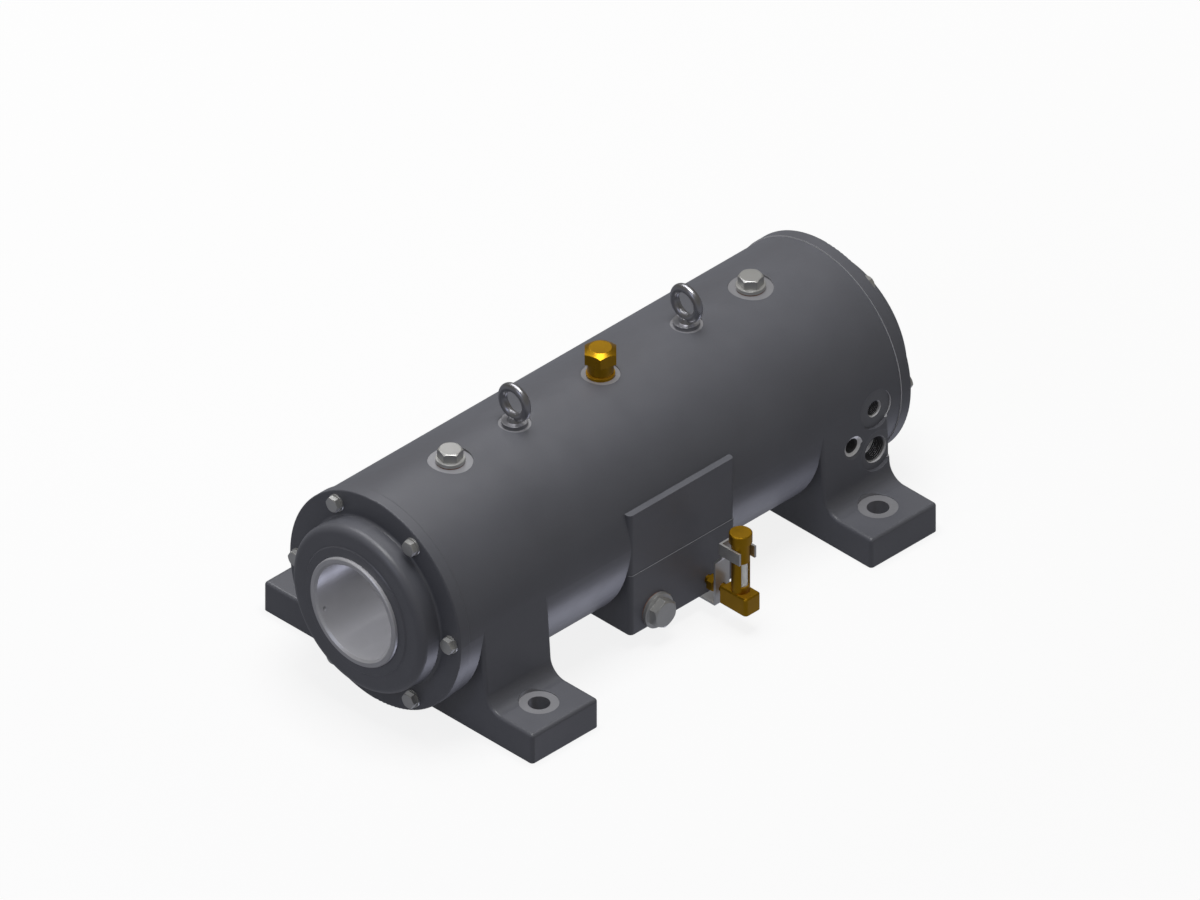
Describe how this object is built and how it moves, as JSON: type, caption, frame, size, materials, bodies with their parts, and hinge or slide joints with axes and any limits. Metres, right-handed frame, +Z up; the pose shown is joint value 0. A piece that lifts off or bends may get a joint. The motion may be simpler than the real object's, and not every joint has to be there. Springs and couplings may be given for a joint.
{
  "type": "bearing housing",
  "caption": "Cylindrical two-bearing housing on feet, with flanged end covers, a through shaft bore, lifting eyes, a side sump and an oil level gauge.",
  "frame": {"origin": "centre of the base, on the ground plane, under the middle of the shaft axis", "axes": "+Z up from the feet, Y along the shaft with the front end at -Y and the rear end at +Y, +X to the side with the sump, the level gauge and the ports"},
  "size_m": [0.398, 0.735, 0.3015],
  "materials": {
    "painted_casting": "satin",
    "zinc_steel": "satin",
    "turned_steel": "satin",
    "polished_steel": "gloss",
    "bearing_steel": "gloss",
    "spring_steel": "satin",
    "fitting_brass": "satin",
    "cage_brass": "satin",
    "gauge_glass": "gloss",
    "sealing_cord": "matte",
    "seal_ring": "matte"
  },
  "bodies": {
    "housing": {"housing": "painted_casting", "front_cover": "painted_casting", "front_cover_cord": "sealing_cord", "front_cover_screws": "zinc_steel", "front_cover_washers": "zinc_steel", "front_retaining_ring": "spring_steel", "front_bearing_outer_ring": "bearing_steel", "front_filler_plug_seal": "seal_ring", "front_filler_plug": "zinc_steel", "front_eye_bolt": "polished_steel", "rear_cover": "painted_casting", "rear_cover_cord": "sealing_cord", "rear_cover_screws": "zinc_steel", "rear_cover_washers": "zinc_steel", "rear_retaining_ring": "spring_steel", "rear_bearing_outer_ring": "bearing_steel", "rear_filler_plug_seal": "seal_ring", "rear_filler_plug": "zinc_steel", "rear_eye_bolt": "polished_steel", "drain_plug_seal": "seal_ring", "drain_plug": "zinc_steel", "breather_body": "fitting_brass", "breather_cap": "fitting_brass", "gauge_connector": "fitting_brass", "gauge_elbow": "fitting_brass", "gauge_guard_tube": "fitting_brass", "gauge_glass": "gauge_glass", "gauge_cap": "fitting_brass", "gauge_bracket": "zinc_steel", "gauge_bracket_screw": "zinc_steel"},
    "front_rotor": {"front_labyrinth_sleeve": "turned_steel", "front_bearing_inner_ring": "bearing_steel", "front_oil_flinger": "turned_steel"},
    "front_cage": {"front_bearing_cage": "cage_brass", "front_bearing_rollers": "bearing_steel"},
    "rear_rotor": {"rear_labyrinth_sleeve": "turned_steel", "rear_bearing_inner_ring": "bearing_steel", "rear_oil_flinger": "turned_steel"},
    "rear_cage": {"rear_bearing_cage": "cage_brass", "rear_bearing_balls": "bearing_steel"}
  },
  "joints": [
    {"name": "front_rotor_spin", "type": "hinge", "parent": "housing", "child": "front_rotor", "pos_m": [0, -0.251, 0.128], "axis": [0, 1, 0], "continuous": true},
    {"name": "front_cage_spin", "type": "hinge", "parent": "housing", "child": "front_cage", "pos_m": [0, -0.251, 0.128], "axis": [0, 1, 0], "continuous": true},
    {"name": "rear_rotor_spin", "type": "hinge", "parent": "housing", "child": "rear_rotor", "pos_m": [0, 0.251, 0.128], "axis": [0, 1, 0], "continuous": true},
    {"name": "rear_cage_spin", "type": "hinge", "parent": "housing", "child": "rear_cage", "pos_m": [0, 0.251, 0.128], "axis": [0, 1, 0], "continuous": true}
  ],
  "couplings": [
    {"joint": "front_cage_spin", "follows": "front_rotor_spin", "ratio": 0.42258},
    {"joint": "rear_cage_spin", "follows": "rear_rotor_spin", "ratio": 0.40774}
  ]
}
